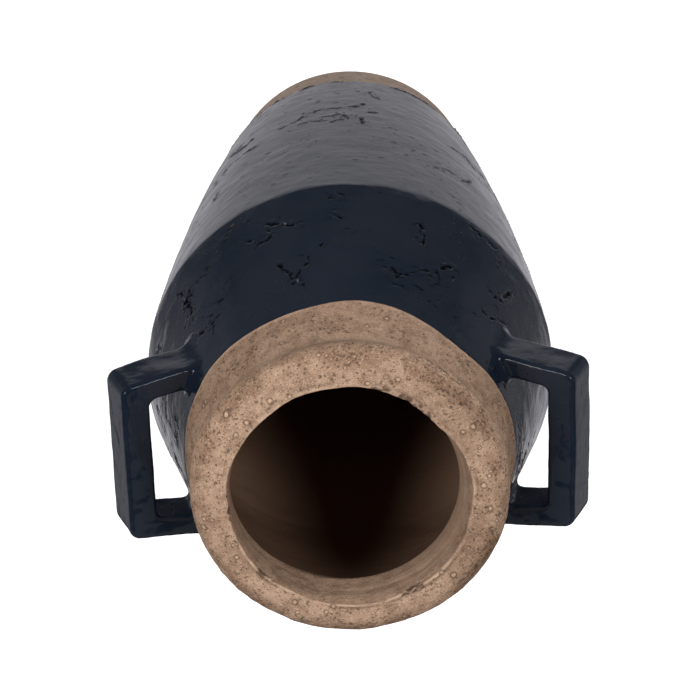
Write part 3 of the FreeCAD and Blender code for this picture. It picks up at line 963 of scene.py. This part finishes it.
def make_handle(name, side, offset, seed, nodes):
    """A square strap handle with the clay smoothed into the shoulder at its two feet, set a little
    off centre, as it was by hand."""
    step, half_grid, margin = 0.8, 68, 7
    blend, edge_round, lumpy, sunk = 6, 2.2, 0.17, 1.3
    smear = 0.93 * blend
    low = np.array([HANDLE_ROOT, -half_grid, -margin])
    high = np.array([HANDLE_REACH + 4, half_grid, STRAP_WIDTH + margin])
    size = np.ceil((high - low) / step).astype(int)
    axes = [low[a] + np.arange(size[a]) * step for a in range(3)]
    x, y, z = np.meshgrid(*axes, indexing="ij")
    flat = np.stack([x, y, z], axis=-1).reshape(-1, 3)
    sway = fractal(flat, 34, seed, 2).reshape(x.shape)
    sway_2 = fractal(flat, 30, seed + 7, 2).reshape(x.shape)
    sx, sy, sz = x + 0.5 * sway, y - offset + 0.7 * sway_2, z + 0.5 * sway

    plan = handle_plan(sx, sy) + edge_round
    thick = np.abs(sz - STRAP_WIDTH / 2) - STRAP_WIDTH / 2 + edge_round
    strap = (np.minimum(np.maximum(plan, thick), 0)
             + np.hypot(np.maximum(plan, 0), np.maximum(thick, 0)) - edge_round)
    pot = handle_to_pot(flat, 1).reshape(x.shape + (3,))
    cone_radius = RIDGE_RADIUS + CONE_SLOPE * (pot[..., 2] - RIDGE_HEIGHT)
    cone = (np.hypot(pot[..., 0], pot[..., 1]) - cone_radius) / math.hypot(1, CONE_SLOPE)
    joined = smooth_union(strap, cone, blend) + lumpy * fractal(flat, 9, seed + 3, 3).reshape(x.shape)
    solid = np.maximum(np.maximum(joined, -(cone + sunk)), strap - smear)
    vertices, faces = surface_nets(solid, low, step)
    piece = make_object(name, handle_to_pot(vertices, side), faces)
    finish_piece(piece, HANDLE_LOOK, "navy_glaze", *nodes)


def handle_plan(x, y):
    """Signed distance to the handle's flat outline: a square loop, open towards the pot."""
    corner_round, hole_round = 6.5, 4.5
    root, inner_tip = HANDLE_ROOT - 5, HANDLE_REACH - BAR_THICKNESS
    hole_root = root - 9

    def arm_side(reach):
        return HANDLE_HALF_LENGTH + ARM_SPREAD * (HANDLE_REACH - reach)

    tip_side, root_side = arm_side(HANDLE_REACH), arm_side(root)
    hole_tip, hole_side = arm_side(inner_tip) - ARM_THICKNESS, root_side - ARM_THICKNESS
    outer = [(HANDLE_REACH, tip_side), (root, root_side), (root, -root_side), (HANDLE_REACH, -tip_side)]
    hole = [(inner_tip, hole_tip), (root, hole_side), (hole_root, hole_side), (hole_root, -hole_side),
            (root, -hole_side), (inner_tip, -hole_tip)]
    return np.maximum(rounded_polygon(x, y, outer, corner_round), -rounded_polygon(x, y, hole, hole_round))


def rounded_polygon(x, y, corners, radius):
    """Signed distance to a convex polygon whose corners are rounded off to radius."""
    shrunk = []
    count = len(corners)
    for i in range(count):
        before, here, after = (np.array(corners[(i + k) % count]) for k in (-1, 0, 1))
        into = [(end - here) / np.linalg.norm(end - here) for end in (before, after)]
        half_angle = math.acos(np.clip(np.dot(into[0], into[1]), -1, 1)) / 2
        middle = (into[0] + into[1]) / np.linalg.norm(into[0] + into[1])
        shrunk.append(tuple(here + middle * radius / max(math.sin(half_angle), 0.2)))
    return polygon_distance(x, y, shrunk) - radius


make_base()
make_body_clay()
make_body_glaze()
make_shoulder_clay()
make_shoulder_glaze()
make_collar()
make_rim()
make_handle("left_handle_form", 1, 2.4, 81, ("left_handle", "left_handle_glaze", "left_luting"))
make_handle("right_handle_form", -1, -1.2, 91, ("right_handle", "right_handle_glaze", "right_luting"))


# ---- floor, light and camera

def sheet(name, side, height, material):
    """A square stage surface."""
    mesh = bpy.data.meshes.new(name)
    corners = [(-side, -side, height), (side, -side, height), (side, side, height), (-side, side, height)]
    mesh.from_pydata(corners, [], [(0, 1, 2, 3)])
    mesh.materials.append(material)
    return add_to_scene(name, mesh)


def make_floor():
    """A pale floor with a faint glow, so that shadows on it stay light. Shiny surfaces mirror the
    painted reflection sheet below instead."""
    g = Graph("floor_white")
    look = g.finish(Base_Color=colour(0.5, 0.5, 0.5), Roughness=0.95, Emission_Strength=0.92,
                    Emission_Color=colour(1, 1, 1))
    floor = sheet("floor", 6.0, 0.0, look)
    floor.visible_glossy = False


def make_painted_reflection():
    """Painted reflection for the glaze: a glowing sheet under the pot that stands in for a lit floor in a
    dark room, brighter on the far side and with a wing to each side. Only reflections see it."""
    near, far, front_level, side_level, room_level = 0.27, 0.43, 0.43, 0.60, 0.045
    wing_near, wing_far, wing_level, wing_front = 0.34, 0.46, 0.30, 0.5
    g = Graph("painted_reflection_sheet")
    spot = g.add("ShaderNodeSeparateXYZ", Vector=g.place)
    across, along = spot.outputs["X"], spot.outputs["Y"]
    reach = g.math("SQRT", g.plus(g.math("POWER", across, 2.0), g.math("POWER", along, 2.0)))
    middle = g.times(g.ramp(along, -0.10, 0.08, front_level, side_level), g.ramp(reach, near, far, 1.0, 0.0))
    wing = g.times(g.ramp(g.math("ABSOLUTE", across), wing_near, wing_far, 0.0, wing_level),
                   g.plus(g.ramp(along, -0.36, -0.22, 0.0, wing_front),
                          g.ramp(along, -0.10, 0.12, 0.0, 1 - wing_front)))
    level = g.math("MAXIMUM", g.math("MAXIMUM", middle, wing), room_level)
    glow = g.add("ShaderNodeEmission", Strength=level, Color=colour(1.0, 0.975, 1.03))
    output = g.add("ShaderNodeOutputMaterial")
    g.tree.links.new(glow.outputs[0], output.inputs["Surface"])
    painted_reflection_sheet = sheet("painted_reflection_sheet", 3.0, -0.001, g.material)
    painted_reflection_sheet.visible_camera = False
    painted_reflection_sheet.visible_diffuse = False
    painted_reflection_sheet.visible_shadow = False


def area_light(name, azimuth, elevation, distance, size, power, glossy_only=False):
    """A round light on a dome round the pot's shoulder, aimed at its neck. Angles are in degrees."""
    data = bpy.data.lights.new(name, "AREA")
    data.shape = "DISK"
    data.size = size
    data.energy = power
    lamp = add_to_scene(name, data)
    lamp.visible_glossy = glossy_only
    lamp.visible_diffuse = not glossy_only
    a, e = math.radians(azimuth), math.radians(elevation)
    lamp.location = Vector((0, 0, 0.35)) + distance * Vector((math.cos(a) * math.cos(e),
                                                              math.sin(a) * math.cos(e), math.sin(e)))
    lamp.rotation_mode = "QUATERNION"
    lamp.rotation_quaternion = (Vector((0, 0, 0.40)) - lamp.location).to_track_quat("-Z", "Y")


def make_camera():
    """Above and in front of the mouth, turned over so that the pot's foot is at the top."""
    data = bpy.data.cameras.new("camera")
    data.lens = 133.7
    data.sensor_width = 36
    camera = add_to_scene("camera", data)
    turn = Matrix.Rotation(math.radians(-1.6), 4, "Z")
    forward = Vector((0, 0.4147, -0.9100))
    up = Vector((0, -0.9100, -0.4147))
    right = forward.cross(up)
    basis = Matrix((right, up, -forward)).transposed().to_4x4()
    camera.matrix_world = turn @ Matrix.Translation((0, -0.6195, 1.6279)) @ basis
    bpy.context.scene.camera = camera


def make_world():
    """A white surround that the camera sees, and that neither lights the pot nor shows in it."""
    world = bpy.data.worlds.new("studio")
    world.use_nodes = True
    background = world.node_tree.nodes["Background"]
    background.inputs["Color"].default_value = colour(1, 1, 1)
    background.inputs["Strength"].default_value = 1.0
    bpy.context.scene.world = world
    world.cycles_visibility.diffuse = False
    world.cycles_visibility.glossy = False


make_floor()
make_painted_reflection()
make_world()
area_light("softbox_left", -27, 57, 1.5, 0.42, 17.5)
area_light("softbox_right", 208, 57, 1.5, 0.42, 13.5)
area_light("softbox_front", -90, 24, 1.6, 0.7, 5)
area_light("glint_left", -42, 57, 1.5, 0.42, 2.2, glossy_only=True)
area_light("glint_right", 222, 57, 1.5, 0.42, 1.8, glossy_only=True)
area_light("card_left", 119, 30, 1.5, 1.3, 0.9, glossy_only=True)
area_light("card_right", 61, 30, 1.5, 1.3, 0.9, glossy_only=True)
make_camera()
bpy.context.scene.view_settings.view_transform = "Standard"
